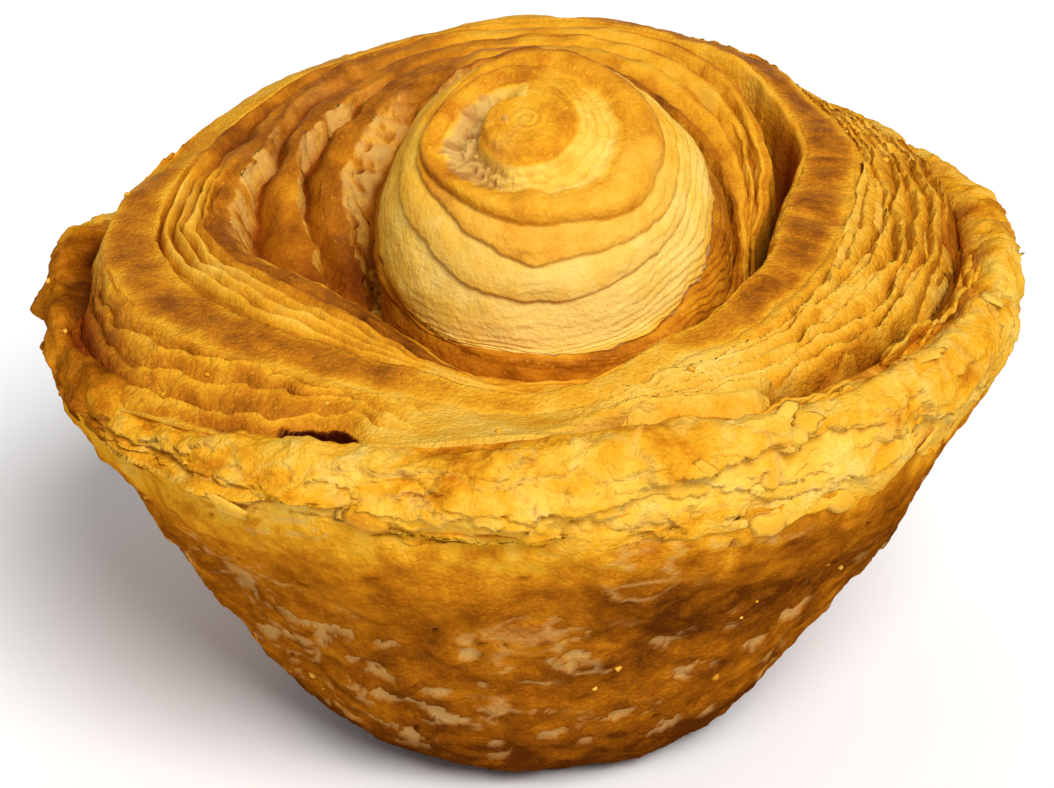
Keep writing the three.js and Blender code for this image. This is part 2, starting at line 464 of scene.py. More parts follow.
def rim_outline(size, angle):
    """Radius and height of the rim's rows, from its ragged lower edge round over the top to the lid."""
    ragged = 1.5 * cloud(ring(angle, RIM_GUIDE_RADIUS, 0), 9, 101, 4)
    edge = RIM_EDGE_HEIGHT + ragged + 0.6 * cloud(ring(angle, RIM_GUIDE_RADIUS, 5.0), 2.4, 107, 2)
    share = np.linspace(0, 1, LIP_STEPS, endpoint=False)[:, None]
    lip_height = mix(edge, size.rim_widest_height, share)
    climb = (lip_height - size.wall_height) / (size.rim_widest_height - size.wall_height)
    lip_radius = size.rim_radius - (size.rim_radius - size.wall_radius) * (1 - climb) ** 2
    wall_line = size.wall_radius + TOP_OUT / TOP_UP * (lip_height - size.wall_height) + 0.1
    lip_radius = mix(wall_line, lip_radius, smooth(0.0, 0.6, share))
    top, lip = (size.rim_top_radius, size.rim_top_height), (size.seat_radius, size.seat_lip_height)
    over = np.concatenate(
        [
            curve((size.rim_radius, size.rim_widest_height), (size.rim_radius, top[1]), top, RIM_STEPS),
            curve(top, (lip[0], top[1]), lip, SEAT_STEPS),
            [lip, (size.seat_radius, size.seat_height), (CORE_RADIUS, size.seat_height)],
        ]
    )
    behind = lip_radius[:1] - EDGE_THICKNESS
    radius = np.concatenate([CORE_RADIUS + 0 * angle, behind, lip_radius, over[:, :1] + 0 * angle])
    height = np.concatenate([edge - 0.4, edge - 0.2, lip_height, over[:, 1:] + 0 * angle])
    return radius - drawn_in(angle, height), height


def rim_body(settings):
    """The pale flaky rim: a collar with a ragged lower edge over the wall, round over the top to the lid."""
    size = millimetres(settings)
    angle = directions(RIM_SIDES)
    at = places(angle, RIM_PLACES)
    draped, right = around(angle, *RIM_DRAPED), around(angle, *RIM_RIGHT)
    gap = np.maximum(at.gap_right, 0.8 * at.gap_left)
    radius, height = rim_outline(size, angle)
    out, up = face_out(radius, height)
    start = ring(angle, radius, height)
    cloudy = partial(cloud, start)
    row = np.arange(len(radius))[:, None]
    climb = np.clip((row - 2) / LIP_STEPS, 0, 1)  # 0 at the lower edge and 1 where the rim is widest
    free = between(0, 3, CROWN_ROW + 2, SEAT_ROW, row)
    inner = smooth(CROWN_ROW - 6, SEAT_ROW - 4, row)

    warp = np.stack([cloudy(2.6, seed) + cloudy(9, seed + 3, 1) for seed in (31, 35, 39)], -1)
    chip, level, margin = chips(start + 1.5 * warp, CHIP_SIZE, 45)
    small, small_level, _ = chips(start + 0.9 * warp, SMALL_CHIP_SIZE, 55)
    torn_edge = fade(0.02, 0.14, margin)
    drag = cloudy((1.7, 1.7, 16), 95, 2)
    crumple = cloudy(7, 15)
    runs_in = smooth(-0.1, 0.3, cloud(ring(angle, RIM_GUIDE_RADIUS, 9.0), 15, 109, 2))
    settled = np.maximum(at.runs_in, runs_in) * fade(0.0, 0.7, climb)
    flaky = free * (1 - 0.4 * right) * (1 - 0.85 * at.left) * (1 - settled)
    lumps = mix(0.7 * cloudy(12, 11, 2), 0.75 * cloudy(13, 11, 2), settled)
    plates = size.plate_depth * (0.8 * chip - 0.7 * level + 0.35 * small - 0.35 * small_level) + 0.12 * drag
    push = radius * rim_unevenness(angle) + settings.lumpiness * lumps
    push += settings.lumpiness * at.left * (1.8 * crumple - 1.1)
    push -= 1.4 * draped * smooth(49, 53, height)
    push += 1.2 * flaky * (1 - 0.6 * smooth(55, 57.4, height)) * plates
    push += 0.14 * cloudy(1.5, 75) + 0.45 * (1 - at.left) * (1 - settled) * cloudy(5, 77)
    lift = round_value(RIM_LIFTS, angle) * smooth(46.5, 55, height) - 2.6 * gap * inner * free
    lift += 0.5 * flaky * smooth(54, 57, height) * cloudy(3.2, 105)
    moved = ring(angle, radius + free * push * out, height + free * push * up + lift)

    # The rim is browner on the left: partly real browning, partly painted shade
    bake = 0.39 + 0.07 * right + 0.38 * at.left + 0.04 * draped + 0.12 * cloudy(8, 81) + 0.10 * drag * flaky
    bake -= flaky * (0.12 * torn_edge + 0.05 * chip + 0.06 * small)
    bake -= 0.18 * flaky * smooth(0.1, 0.8, -chip - 0.5 * small)
    bake += flaky * (0.05 + 0.14 * smooth(0.1, 0.7, cloudy((5, 5, 3), 99)))
    bake += 0.22 * at.browned * smooth(53, 56, height) * smooth(0.0, 0.5, cloudy(5, 97)) - 0.08 * at.paler
    # The gap term is painted shade in the sunken gap between the rim and the lid
    bake += 0.16 * inner + 0.12 * gap * inner + 0.12 * fade(0.0, 0.3, climb)
    # Painted shade: along the edges of the chips, at the seat of the lid and in the hollows and inner side
    # on the left
    crease_shade = 0.4 * flaky * fade(0.0, 0.05, margin) * smooth(-0.1, 0.4, cloudy(6, 91, 2))
    crease_shade += 0.6 * smooth(SEAT_ROW - 4, SEAT_ROW + 1, row)
    crease_shade += at.left * (0.6 * smooth(0.0, 0.5, -crumple) + 0.7 * inner)
    return moved, {"bake": bake, "crease_shade": crease_shade, "across": height, "flour": 0.2 * flaky * torn_edge}


# Rosette in the middle of the lid

ROSETTE_SIDES = 500
ROSETTE_ROWS = 190
OUTLINE_STEPS = 600
LEAN_HEIGHT = 14  # the rosette stands upright at its root and leans fully from here up
ROOT_DEPTH = 2.0
# Distance of the coil's crease from the tip, for every quarter turn from the back, anticlockwise
COIL_REACHES = (
    *(3.0, 5.1, 6.0, 5.3),
    *(7.0, 9.6, 9.6, 11.0),
    *(10.5, 12.0, 12.6, 16.4),
    *(13.0, 12.8, 16.3, 19.0),
    *(16.0, 17.0, 20.8, 21.0),
    *(20.0, 24.5, 34.0, 26.5),
    *(28.0, 31.0, 38.6, 34.0),
    *(39.0, 42.0, 42.0, 44.0),
)
COIL_COUNT = len(COIL_REACHES) // 4 - 1
# Turns from the inner end of the coiled strip, and its browning
COIL_TONES = (
    *((0, 0.3), (0.3, 0.22), (0.5, 0.18), (0.8, 0.2), (0.95, 0.5)),
    *((1.0, 0.68), (1.25, 0.62), (1.5, 0.5), (1.75, 0.56)),
    *((2.0, 0.66), (2.25, 0.58), (2.5, 0.46), (2.75, 0.36)),
    *((3.0, 0.55), (3.25, 0.38), (3.5, 0.22), (3.75, 0.18)),
    *((4.0, 0.5), (4.25, 0.34), (4.5, 0.0), (4.75, 0.12), (5, 0.7)),
)


def rosette_outline(size, fullness):
    """Radius, height and distance from the tip of each row of the rosette, from its root up."""
    bend = np.linspace(0, np.pi / 2, OUTLINE_STEPS)
    radius = size.rosette_radius * np.cos(bend) ** (2 / fullness)
    height = size.rosette_height * np.sin(bend) ** (2 / fullness)
    length = np.concatenate([[0], np.cumsum(np.hypot(np.diff(radius), np.diff(height)))])
    even = np.linspace(0, length[-1] - 0.15, ROSETTE_ROWS)
    return np.interp(even, length, radius), np.interp(even, length, height), length[-1] - even


def coil_place(reach, angle):
    """Place on the coiled strip: turns from its inner end, and the share of the way across it."""
    turn = np.mod(angle / FULL_TURN - 0.25, 1.0)
    creases = [curve_value(COIL_REACHES, 4 * (step + turn)) for step in range(COIL_COUNT)]
    steps = zip(creases, creases[1:])
    place = sum(np.clip((reach - inner) / (outer - inner), 0, 1) for inner, outer in steps)
    return np.floor(place) + turn, place - np.floor(place)


def lean(points, forward, left):
    """Points leaned to the left and then forwards about the origin, by angles that may differ by row."""
    x, y, z = points[..., 0], points[..., 1], points[..., 2]
    x, z = x * np.cos(left) - z * np.sin(left), x * np.sin(left) + z * np.cos(left)
    y, z = y * np.cos(forward) - z * np.sin(forward), y * np.sin(forward) + z * np.cos(forward)
    return np.stack([x, y, z], -1)


def on_the_lid(points, height, settings):
    """The rosette's points, leaned by their height above its root and set in their place on the lid."""
    size = millimetres(settings)
    share = smooth(0, LEAN_HEIGHT, height)
    moved = lean(points, share * settings.lean_forward, share * settings.lean_left)
    moved += np.array([size.rosette_x, size.rosette_y, size.rosette_base])
    moved[..., 1] += size.lean_shift * share
    return moved


def rosette_body(settings):
    """A domed snail of pastry. Its coil starts in a button at the tip, in a crater with a browned ridge."""
    size = millimetres(settings)
    angle = directions(ROSETTE_SIDES)
    at = places(angle, ROSETTE_PLACES)
    front_left, right = around(angle, *ROSETTE_FRONT_LEFT), around(angle, *ROSETTE_RIGHT)
    outline = rosette_outline(size, settings.rosette_fullness)
    radius, height, reach = (row[:, None] + 0 * angle for row in outline)
    out, up = face_out(radius, height)
    start = ring(angle, radius, height)
    cloudy = partial(cloud, start)
    wander = reach + smooth(3, 8, reach) * (0.7 * cloudy(8, 111, 2) + 0.26 * cloudy(2.2, 115))
    wander += 0.5 * smooth(26, 31, reach) * cloudy(3, 117)
    turns, across = coil_place(wander, angle)

    coil, later = smooth(0.93, 1.07, turns), smooth(1.85, 2.1, turns)
    in_crater = between(0, 0.14, 0.34, 0.5, turns)
    in_steps = between(0.3, 0.46, 0.84, 0.98, turns)
    bowl = between(0, 0.22, 0.66, 0.98, across)
    lip = across**0.8 * fade(0.90, 1.0, across) - 0.45 * mix(smooth(0, 0.4, across), 1, later)
    roll = np.sin(np.pi * across)
    push = size.lip_depth * (0.3 + 0.7 * front_left) * coil * fade(4.9, 5.05, turns) * lip
    push += 0.8 * roll * coil * fade(1.9, 2.3, turns) + 0.3 * roll * coil
    push -= size.crater_depth * in_crater * bowl
    push -= 0.9 * in_steps * between(0, 0.75, 0.8, 1, across)
    push += 0.9 * around(angle, *ROSETTE_BACK) * between(8, 13, 17, 25, reach)
    push += size.button_height * fade(4.2, 5.4, reach)
    swirl = np.cos(FULL_TURN * (reach / 0.9 - angle / FULL_TURN)) * near(reach, 1.1, 1.1)
    push += 0.2 * swirl * smooth(-0.3, 0.6, cloudy(1.6, 191, 2)) - 0.3 * near(reach, 0, 2.2)
    lines = wander / 1.3 + 1.4 * cloudy(10, 121, 2) + 0.3 * cloudy(3, 125, 2) - angle / FULL_TURN
    leaf = lines - np.floor(lines)
    front_lines = at.front_lines * smooth(3.9, 4.2, turns) * smooth(0.1, 0.4, across)
    leafy = 0.3 * smooth(0.2, 0.7, cloudy(9, 131, 2)) + 0.6 * right * later + 0.2 * front_lines + in_steps
    leafy = np.clip(leafy, 0, 1) * smooth(5, 7, reach)
    push += 0.36 * leafy * (leaf * fade(0.8, 1.0, leaf) - 0.4)
    last_lip = smooth(0.84, 0.94, across) * between(4.1, 4.3, 4.8, 5, turns)
    last_lip *= smooth(-0.2, 0.4, cloudy(4, 181, 2))
    grit = cloudy(1.1, 141)
    torn = across + 0.16 * grit
    crumbly = in_crater * between(0.08, 0.2, 0.86, 0.96, torn) + 0.3 * in_steps
    crumbly = np.maximum(np.clip(crumbly, 0, 1), last_lip)
    push += crumbly * (0.6 * grit - 0.1) + 0.12 * cloudy(2.0, 151, 4)
    push += 0.55 * cloudy(11, 161, 2) * smooth(6, 12, reach)
    raised = ring(angle, np.maximum(radius + push * out, 0.05), height + push * up)
    moved = on_the_lid(raised, height, settings)
    root = moved[:1] - np.array([0, 0, ROOT_DEPTH])

    inner_tone, outer_tone = read_off(COIL_TONES, turns), read_off(COIL_TONES, turns + 1)
    bake = mix(inner_tone, outer_tone, smooth(0.84, 1.0, across))
    bake += 0.10 * coil * (across - 0.5) * (1 - right)
    bake = mix(bake, 0.54, fade(0.0, 0.12, across) * (turns < 1)) - 0.2 * near(reach, 0, 2.0)
    bake += 0.13 * cloudy(5, 171) + 0.12 * (leaf - 0.5) * leafy
    # Painted shade: darker towards the bottom of the last turn, where the rosette meets the lid
    bake += 0.26 * smooth(0.5, 1.0, across) * between(4.0, 4.1, 4.9, 5, turns)
    # Painted shade: under the lips, at the root, in the crumbly pits, in the crater, at the leaf steps and
    # in the swirl's grooves
    crease_shade = 0.14 * later * fade(0.0, 0.08, across) * (0.2 + 0.8 * front_left)
    crease_shade += 0.06 * smooth(4.9, 5.1, turns)
    crease_shade += 0.45 * crumbly * smooth(0.1, 0.7, -grit) + 0.1 * in_crater * bowl
    crease_shade += 0.25 * leafy * fade(0.0, 0.15, leaf) * (1 - in_crater) + 0.3 * smooth(0.2, 0.8, -swirl)
    paler = at.paler * between(1.1, 2.2, 3.6, 4.1, turns)
    flour = 0.7 * crumbly * in_crater + 0.8 * last_lip + 0.16 * paler
    values = {"bake": bake, "crease_shade": crease_shade, "across": reach, "flour": flour}
    return np.concatenate([root, moved]), with_end_rows(values, reach.shape)


# Band of the lid, and the leaves outside it

BAND_SIDES = 720
OUTER_ROWS = 96
CREST_ROWS = 14
BAND_GUIDE_RADIUS = 40.0  # round which the noise on the band and the leaves is laid out
BAND_GUIDE_STEP = 13  # from the band to the rim
BAND_LINE_RADIUS = 38.0
LEAF_NOISE_STEP = 60.0  # far enough apart for each leaf to have a ragged edge of its own
CREST_FALL = 1.2  # how far the outer edge of the band lies below its top
INNER_FALL = 0.25  # the same for its inner edge
FOOT_RADIUS = 48.4  # hidden foot of the lid, inside the rim
LID_UNDERSIDE = 47.4
HIDDEN_OVERLAP = 0.4  # how far the band and the turns run under each other
FAN_LEAVES = 7
LOOSE_LEAVES = 4
FAN_SIDE = (38, 139)  # middle and half width, in degrees, of the stretch with the fan's number of leaves
LOOSE_LEVEL = 215  # direction in degrees where the loose leaves lie level
LOOSE_SLANT = 0.5 / 30  # part of a leaf that they rise for each degree from it
GAP_START = 0.86  # share of the way from the band to the rim where the leaves end
FAN_RISE = 2.4  # how far the leaves of the fan end above the rim
SLOT_DEPTH = 3.0  # slot at the lower left, darkened with painted shade
SLOT_INSET = 3.2


def leaf_edges(angle, count, seed):
    """Share of the way from the band to the rim of the ragged upper edge of each leaf."""
    edges = []
    for leaf in range(count + 1):
        course = ring(angle, BAND_GUIDE_RADIUS, LEAF_NOISE_STEP * leaf)
        waver = 0.42 * cloud(course, 10, seed, 2) + 0.26 * cloud(course, 3.0, seed + 3)
        edges.append((leaf + waver * (leaf > 0)) / count)
    return edges


def leaf_share(place, edges):
    """Share of the way down the leaf at each place, for leaves that overlap like shingles."""
    share = np.zeros(np.broadcast_shapes(place.shape, edges[0].shape))
    for upper, lower in zip(edges, edges[1:]):
        inside = (place >= upper) & (place < lower)
        share = np.where(inside, (place - upper) / np.maximum(lower - upper, 1e-6), share)
    return share


def band_line(angle):
    """Radius of the middle of the band, which wavers a little."""
    return round_value(BAND_RADII, angle) + 0.45 * cloud(ring(angle, BAND_LINE_RADIUS, 0.0), 6, 1191)


def band_slope(angle, at):
    """The band and the slope outside it, before the leaves are added, and the places along their rows."""
    half = round_value(CREST_HALF_WIDTHS, angle)
    middle, top = band_line(angle), round_value(BAND_HEIGHTS, angle)
    edge_radius = round_value(EDGE_RADII, angle) - SLOT_INSET * at.slot
    edge_height = round_value(EDGE_HEIGHTS, angle) + FAN_RISE * at.fan
    outside = np.linspace(1, 0, OUTER_ROWS, endpoint=False)[:, None]
    crest = np.linspace(1, -1, CREST_ROWS)[:, None]
    place = stacked(outside, 0.15 * (crest - 1))
    cloudy = partial(cloud, ring(angle, BAND_GUIDE_RADIUS, BAND_GUIDE_STEP * place))
    torn_place = place + 0.06 * cloudy(2.4, 1181)
    past_leaves = place - (GAP_START - 0.10 * at.torn_gap + 0.05 * cloudy(4, 1185))
    in_gap = smooth(0, 0.06, past_leaves)
    slope = mix(top - CREST_FALL, edge_height, mix(smooth(0, 1, outside), outside, 0.7))
    crest_height = top - mix(INNER_FALL, CREST_FALL, ((crest + 1) / 2) ** 1.6)
    height = stacked(slope, crest_height) - (FAN_RISE * at.fan + 1.4 * at.torn_gap) * in_gap
    height -= SLOT_DEPTH * at.slot * smooth(0.90, 0.94, torn_place)
    radius = stacked(mix(middle + half, edge_radius, outside), middle + half * crest)
    return SimpleNamespace(
        radius=radius,
        height=height,
        inner_edge=middle - half,
        room=np.maximum(smooth(8, 15, edge_radius - middle - half), at.back),
        crown=stacked(0 * outside, 1 - np.abs(crest) ** 3),
        place=place,
        cloudy=cloudy,
        past_leaves=past_leaves,
        in_gap=in_gap,
        slot_shade=smooth(0.2, 0.5, at.slot) * smooth(0.89, 0.91, torn_place),
    )


def band_body():
    """The browned band, and outside it the leaves that overlap like shingles down to the rim."""
    angle = directions(BAND_SIDES)
    at = places(angle, BAND_PLACES)
    base = band_slope(angle, at)
    place, crown, cloudy = base.place, base.crown, base.cloudy
    slant = LOOSE_SLANT * at.loose * apart(angle, LOOSE_LEVEL)
    fan_share = leaf_share(place, leaf_edges(angle, FAN_LEAVES, 1201))
    loose_share = leaf_share(place + slant / LOOSE_LEAVES, leaf_edges(angle, LOOSE_LEAVES, 1221))
    share = np.where(np.abs(apart(angle, FAN_SIDE[0])) < FAN_SIDE[1], fan_share, loose_share)
    leafy = np.clip(at.fan + at.back + at.loose, 0, 1) * smooth(0, 0.12, place)
    leafy *= fade(0.04, 0.11, base.past_leaves)
    calm = 1 - 0.6 * smooth(0, 45, apart(angle, 0))
    size = leafy * (2.1 + 0.4 * at.fan + 0.5 * cloudy(11, 1111, 2)) * calm * mix(0.5, 1, base.room)
    proud = size * (smooth(0, 0.14, share) * (1 - share) * 1.16 - 0.45)
    tip = near(share, 0.2, 0.14) * leafy
    ragged = cloudy((1.1, 1.1, 3), 1121, 2)
    bubbles = smooth(0.25, 0.9, cloudy(1.7, 1131, 2))
    waves = 0.5 * cloudy(8, 1101, 2) + 0.28 * cloudy(3.2, 1105, 2)
    wrinkles = cloud(ring(angle, BAND_GUIDE_RADIUS, 2 * place), (1.2, 1.2, 9), 1141, 2)
    radius = base.radius + 0.4 * proud * fade(0.8, 0.95, place) - 0.5 * tip
    radius += 0.5 * waves * (1 - leafy) * fade(0.8, 1, place)
    height = base.height + 0.85 * proud + 0.4 * tip * ragged + 0.35 * bubbles * at.fan * leafy
    height += 0.2 * crown * at.right * wrinkles + 0.5 * cloudy(9, 1151) * (1 - leafy)
    height += 0.12 * cloudy(2.2, 1161)

    tone = 0.50 + crown * (0.28 * at.right + 0.25 * at.left) - 0.04 * np.maximum(place, 0)
    leaf_tone = mix(0.51, 0.62, at.loose) + 0.16 * (share - 0.35) - 0.10 * tip
    bake = mix(tone, leaf_tone, leafy) - 0.14 * at.front * (1 - crown) - 0.08 * crown * at.paler
    bake += (0.09 - 0.04 * crown) * cloudy(5, 1171) + 0.06 * crown * at.right * wrinkles
    # Painted shade in the slot at the lower left
    bake += 0.5 * base.slot_shade
    gap = fade(0.0, 0.12, share) + smooth(0.9, 1.0, share)
    # Painted shade: in the gaps between the leaves, in the gap at the rim, in the slot and in the shaded
    # place on the left
    crease_shade = (0.55 + 0.3 * at.loose) * calm * base.room * leafy**2 * gap + 0.8 * at.fan * base.in_gap
    crease_shade += 1.2 * base.slot_shade + 0.95 * at.shaded * smooth(0.2, 0.8, place)
    grid = ring(angle, radius, height)
    foot = ring(angle, FOOT_RADIUS - 2.2 * at.slot, LID_UNDERSIDE)
    core = ring(angle, base.inner_edge - HIDDEN_OVERLAP, LID_UNDERSIDE + 0.6)
    values = {"bake": bake, "crease_shade": crease_shade, "across": strip_run(grid)}
    return np.concatenate([foot, grid, core]), with_end_rows(values, height.shape, beyond_last=True)


# Turns of the lid, between the rosette and the band

FOLD_SIDES = 640
TURN_ROWS = 116
LOBE_ROWS = 56
WALL_ROWS = 14
GROOVE_ROWS = 5
LAST_TURN = len(TURN_RADII) - 1
TURN_GUIDE_RADIUS = 36.0  # round which the noise on the turns is laid out
TURN_GUIDE_STEP = 9  # from turn to turn
GROOVE_FLOOR = 48.6
GROOVE_INNER = 12.0  # hidden inner end of the groove, under the rosette
GROOVE_DEPTH = 9.5
WALL_REACH = 3.6  # how far inwards the wall of the first turn slants
WALL_START = 0.36  # share of the way from one turn to the next where the wall of the next one starts
LEFT_WALL_STARTS = (0.24, 0.78, 0.64, 0.70)  # the same at the left back, for each turn
LOBE_SHEETS = 5.2  # sheets in the lobe at the left, between the last turn and the band


def turn_lines(angle):
    """Radii and heights of the crests of the turns, and after them of the inner edge of the band."""
    inner_edge = band_line(angle) - round_value(CREST_HALF_WIDTHS, angle)
    radii = [round_value(row, angle) for row in TURN_RADII]
    heights = [round_value(row, angle) for row in (*TURN_HEIGHTS, BAND_HEIGHTS)]
    heights[-1] -= INNER_FALL
    return np.concatenate([*radii, inner_edge]), np.concatenate(heights)


def coil_folds(angle, at, radii, heights):
    """The treads and walls of the turns, from the band inwards: rows of places, sizes and shapes."""
    in_last = np.linspace(LAST_TURN + 1, LAST_TURN, LOBE_ROWS, endpoint=False)
    coil = np.concatenate([in_last, np.linspace(LAST_TURN, 0, TURN_ROWS - LOBE_ROWS)])[:, None]
    cloudy = partial(cloud, ring(angle, TURN_GUIDE_RADIUS, TURN_GUIDE_STEP * coil))
    turn = np.maximum(np.ceil(coil[:, 0] - 1e-9).astype(int) - 1, 0)
    way = coil - turn[:, None]
    inner_height, outer_height = heights[turn], heights[turn + 1]
    depth = np.concatenate([round_value(row, angle) for row in VALLEY_DEPTHS])[turn]
    start = mix(WALL_START, np.array(LEFT_WALL_STARTS)[turn][:, None], at.left_back)
    start = start + 0.10 * cloudy(5, 1015) * at.left_back
    climb = np.clip((way - start) / (1 - start), 0, 1)
    valley = smooth(0.35, 1, way / start) * fade(0, 0.8, climb)
    in_lobe = at.lobe * (turn == LAST_TURN)[:, None]
    sheets = way * LOBE_SHEETS + 0.3 * cloudy(14, 1021, 2)
    sheet = 1 - np.abs(2 * (sheets - np.floor(sheets)) - 1) ** 2 * smooth(0.12, 0.3, way)
    height = mix(inner_height, outer_height, mix(way, smooth(0, 0.9, climb), 0.6)) - depth * valley
    height += 0.8 * in_lobe * np.sin(np.pi * way) - 1.9 * in_lobe * (1 - sheet)
    rise = smooth(0.6, 2.6, depth + outer_height - inner_height)
    shade = at.shaded * (turn == LAST_TURN)[:, None] * smooth(0.15, 0.4, way)
    # Painted shade in the valleys between the turns and between the sheets of the lobe
    gap_shade = smooth(0.5, 1, valley) * np.minimum(depth / 3.5, 1) + 0.9 * in_lobe * fade(0, 0.5, sheet)
    return SimpleNamespace(
        coil=coil,
        way=way,
        radius=mix(radii[turn], radii[turn + 1], way),
        height=height,
        wall=between(0, 0.16, 0.72, 0.9, climb) * rise * (1 - in_lobe),
        in_lobe=in_lobe,
        in_first=(turn == 0)[:, None],
        sheet=sheet,
        gap_shade=np.clip(np.maximum(gap_shade, shade * fade(0.5, 0.9, climb)), 0, 1),
    )


def turns_body():
    """The turns inside the band as one folded surface, the inner wall of the first turn and the groove."""
    angle = directions(FOLD_SIDES)
    at = places(angle, TURN_PLACES)
    radii, heights = turn_lines(angle)
    first_radius, first_height = radii[:1], heights[:1]
    floor = np.maximum(first_height - GROOVE_DEPTH, GROOVE_FLOOR)
    folds = coil_folds(angle, at, radii, heights)
    way, in_lobe = folds.way, folds.in_lobe
    down = np.linspace(0, 1, WALL_ROWS + 1)[1:, None]
    inwards = np.linspace(0, 1, GROOVE_ROWS + 1)[1:, None]
    place = stacked(folds.coil, -0.8 * down, -0.8 - inwards)
    cloudy = partial(cloud, ring(angle, TURN_GUIDE_RADIUS, TURN_GUIDE_STEP * place))

    height = stacked(folds.height, mix(first_height, floor, down**1.2), floor + 0 * inwards)
    height += 0.4 * cloudy(7, 1011)
    wall_radius = first_radius - WALL_REACH * down**1.4
    radius = stacked(folds.radius, wall_radius, mix(first_radius - WALL_REACH, GROOVE_INNER, inwards))
    sway = 0.5 * cloudy(8, 1001, 2) + 0.3 * cloudy(2.8, 1005, 2) * (1 + at.left_back)
    held = smooth(0, 0.5, LAST_TURN + 1 - folds.coil)
    radius += sway * stacked(held, 1 - 0.6 * down, 0.4 * (1 - inwards))
    steep = stacked(folds.wall, 1 - 0.3 * down, 0 * inwards)
    crumbly = steep * (0.1 + 0.9 * at.left_back)
    lines_down = height / 1.1 + 0.8 * cloudy(9, 1031, 2)
    leaf = lines_down - np.floor(lines_down)
    grit = cloudy(1.5, 1041, 4)
    radius += 0.6 * crumbly * grit - 0.5 * steep * (0.15 + 0.85 * at.left_back) * (leaf - 0.5)
    height += 0.13 * cloudy(2.2, 1061) + 0.35 * crumbly * grit

    # Lower down on the left back the treads' tone is shifted where they lie in shade, a painted shaded look
    low = fade(51, 60, height)
    tread_tone = 0.50 + 0.28 * at.left_back - 0.04 * at.left_back * low
    browned = np.maximum(fade(0.22, 0.36, way), 0.6 * smooth(0.85, 1, way))
    lobe_tone = mix(0.56 - 0.16 * folds.sheet, 0.84, browned)
    bake = stacked(mix(tread_tone[:TURN_ROWS], lobe_tone, in_lobe), tread_tone[TURN_ROWS:])
    bake = mix(bake, 0.48 + 0.04 * at.left_back, steep)
    edge_tone = 0.14 * near(way, 0.04, 0.2) + 0.16 * folds.in_first * near(way, 0.1, 0.5)
    bake += at.right * stacked(edge_tone, 0.2 * (1 - down), 0 * inwards)
    bake += 0.08 * cloudy(5, 1071) + at.left_back * steep * (0.24 * (leaf - 0.5) - 0.14 * grit)
    # Painted shade: in the valleys, down the inner wall of the first turn and on the groove floor, low on
    # the left, and in the crumbly hollows
    crease_shade = stacked(folds.gap_shade, 0.6 * down**1.3, 0.6 + 0 * inwards)
    crease_shade = np.maximum(crease_shade, 0.75 * at.left * low * stacked(1 - in_lobe, 1 + 0 * down, 1 + 0 * inwards))
    crease_shade = crease_shade * (1 - 0.6 * crumbly) + 0.4 * crumbly * smooth(0.2, 0.7, -grit)
    flour = 0.6 * crumbly * at.left_back * smooth(-0.9, 0.5, grit) * (1 - 0.6 * low)
    grid = ring(angle, radius, height)
    foot = ring(angle, radii[-1:] + HIDDEN_OVERLAP, LID_UNDERSIDE)
    values = {"bake": bake, "crease_shade": crease_shade, "across": strip_run(grid), "flour": flour}
    return np.concatenate([foot, grid]), with_end_rows(values, height.shape)


# Torn leaves on the right

LEAF_STEP = 0.34
FACE_POINTS = 9
CAP_POINTS = 4
FAN_STARTS = (-80, 5)  # range of directions where the leaves of the fan start, in degrees
FAN_SPANS = (16, 34)
FAN_LIFTS = (0.5, 0.9)
FAN_EDGE = (47.6, 57.4)  # radius and height of the outer edge of the fan
TORN_STARTS = (-66, -12)  # the same for the torn leaves in the gap at the rim
TORN_SPANS = (9, 20)
TORN_RADII = (49.0, 52.5)
TORN_HEIGHTS = (56.6, 58.0)
LEAF_DRAWS = 23  # start of the random draws
FAN_NOISE = 700  # noise of the first leaf of each kind, and the step to the next leaf
TORN_NOISE = 1300
NOISE_STEP = 20


@dataclass
class LeafLook:
    """How a leaf of pastry looks: sizes in millimetres, and the browning of its faces and of its edge."""

    half_width: float = 0.5
    depth: float = 3.4
    wave: float = 0.6
    ragged: float = 0.3
    slant: float = 0.8
    dive: float = 1.6
    face: float = 0.42
    edge: float = 0.32


FAN_LEAF = LeafLook()
TORN_LEAF = LeafLook(0.55, depth=4.4, wave=1.0, ragged=0.8, slant=-0.5, dive=1.4, face=0.58, edge=0.46)


